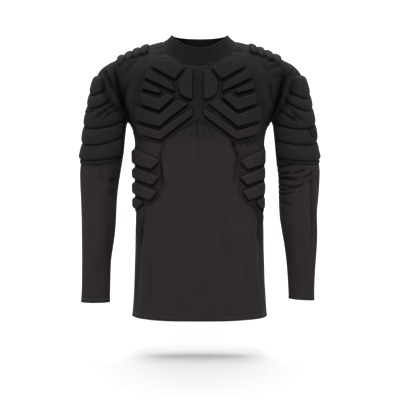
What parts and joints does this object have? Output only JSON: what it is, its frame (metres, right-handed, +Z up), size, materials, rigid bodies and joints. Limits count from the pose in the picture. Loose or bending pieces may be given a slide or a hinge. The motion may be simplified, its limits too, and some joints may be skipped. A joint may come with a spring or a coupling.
{
  "type": "padded compression shirt",
  "caption": "Long-sleeved close-fitting jersey shirt with foam pads on chest, ribs, shoulders and upper arms, filled out with nobody in it.",
  "frame": {"origin": "middle of the neck opening, level with the inner ends of the shoulder seams, where the wearer's shoulders and neck hold the shirt", "axes": "+X towards the wearer's left, -Y out of the chest, +Z up along the wearer's trunk"},
  "size_m": [0.6023, 0.2388, 0.7026],
  "materials": {
    "arm_pad_left": "matt knitted jersey",
    "arm_pad_right": "matt knitted jersey",
    "back": "matt knitted jersey",
    "chest_backing": "matt knitted jersey",
    "chest_pad_bottom_left": "matt knitted jersey",
    "chest_pad_bottom_right": "matt knitted jersey",
    "chest_pad_collar_left": "matt knitted jersey",
    "chest_pad_collar_right": "matt knitted jersey",
    "chest_pad_inner_left": "matt knitted jersey",
    "chest_pad_inner_right": "matt knitted jersey",
    "chest_pad_lower_left": "matt knitted jersey",
    "chest_pad_lower_right": "matt knitted jersey",
    "chest_pad_middle_left": "matt knitted jersey",
    "chest_pad_middle_right": "matt knitted jersey",
    "chest_pad_outer_left": "matt knitted jersey",
    "chest_pad_outer_right": "matt knitted jersey",
    "chest_pad_upper_left": "matt knitted jersey",
    "chest_pad_upper_right": "matt knitted jersey",
    "front": "matt knitted jersey",
    "neckband": "matt knitted jersey",
    "rib_panel_left": "matt knitted jersey",
    "rib_panel_right": "matt knitted jersey",
    "shoulder_pad_left": "matt knitted jersey",
    "shoulder_pad_right": "matt knitted jersey",
    "sleeve_left": "matt knitted jersey",
    "sleeve_right": "matt knitted jersey"
  },
  "bodies": {
    "root": {"arm_pad_left": "arm_pad_left", "arm_pad_right": "arm_pad_right", "back": "back", "chest_backing": "chest_backing", "chest_pad_bottom_left": "chest_pad_bottom_left", "chest_pad_bottom_right": "chest_pad_bottom_right", "chest_pad_collar_left": "chest_pad_collar_left", "chest_pad_collar_right": "chest_pad_collar_right", "chest_pad_inner_left": "chest_pad_inner_left", "chest_pad_inner_right": "chest_pad_inner_right", "chest_pad_lower_left": "chest_pad_lower_left", "chest_pad_lower_right": "chest_pad_lower_right", "chest_pad_middle_left": "chest_pad_middle_left", "chest_pad_middle_right": "chest_pad_middle_right", "chest_pad_outer_left": "chest_pad_outer_left", "chest_pad_outer_right": "chest_pad_outer_right", "chest_pad_upper_left": "chest_pad_upper_left", "chest_pad_upper_right": "chest_pad_upper_right", "front": "front", "neckband": "neckband", "rib_panel_left": "rib_panel_left", "rib_panel_right": "rib_panel_right", "shoulder_pad_left": "shoulder_pad_left", "shoulder_pad_right": "shoulder_pad_right", "sleeve_left": "sleeve_left", "sleeve_right": "sleeve_right"}
  },
  "joints": []
}
